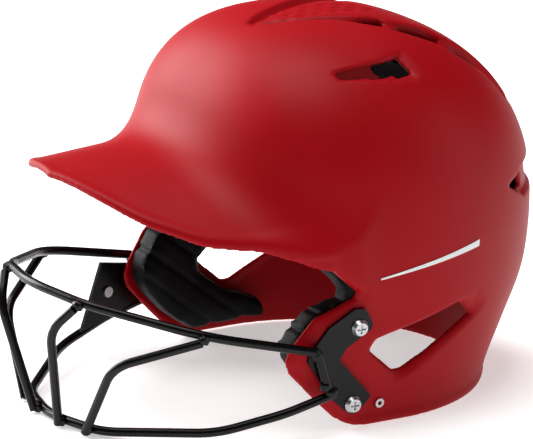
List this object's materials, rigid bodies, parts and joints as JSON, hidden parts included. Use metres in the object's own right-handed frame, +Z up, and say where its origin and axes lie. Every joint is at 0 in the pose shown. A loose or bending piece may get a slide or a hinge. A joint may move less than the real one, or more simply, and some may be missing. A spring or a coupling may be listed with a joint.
{
  "type": "batting helmet",
  "caption": "Hard-shell batting helmet with peak, ear flaps, ear windows, vents, inner padding and a bolted-on wire face mask.",
  "frame": {"origin": "on the plane that the rim and mask stand on, below the middle of the whole object's box", "axes": "+Z up, the wearer faces -Y, +X is the wearer's left, +Y is the rear and the longest extent"},
  "size_m": [0.2142, 0.302, 0.2062],
  "materials": {
    "shell_red": "matte moulded red",
    "firm_foam": "dark grey closed-cell foam",
    "wrapped_pad": "black knit over soft foam",
    "hook_loop": "hook-and-loop tape",
    "mask_coating": "black vinyl-dip coating on steel",
    "bright_steel": "zinc-plated steel"
  },
  "bodies": {
    "root": {"outer_shell": "shell_red", "crown_foam": "firm_foam", "front_foam": "firm_foam", "rear_foam": "firm_foam", "left_side_foam": "firm_foam", "right_side_foam": "firm_foam", "crown_pad": "wrapped_pad", "front_pad": "wrapped_pad", "rear_pad": "wrapped_pad", "left_side_pad": "wrapped_pad", "right_side_pad": "wrapped_pad", "left_ear_pad": "wrapped_pad", "right_ear_pad": "wrapped_pad", "pad_fasteners": "hook_loop", "mask_top_wire": "mask_coating", "mask_lower_wire": "mask_coating", "mask_left_outer_bar": "mask_coating", "mask_left_inner_bar": "mask_coating", "mask_right_inner_bar": "mask_coating", "mask_right_outer_bar": "mask_coating", "left_mask_plate": "mask_coating", "right_mask_plate": "mask_coating", "mask_screws": "bright_steel", "mask_tee_nuts": "bright_steel", "plate_rivet": "bright_steel", "left_strap_eyelet": "bright_steel", "right_strap_eyelet": "bright_steel"}
  },
  "joints": []
}
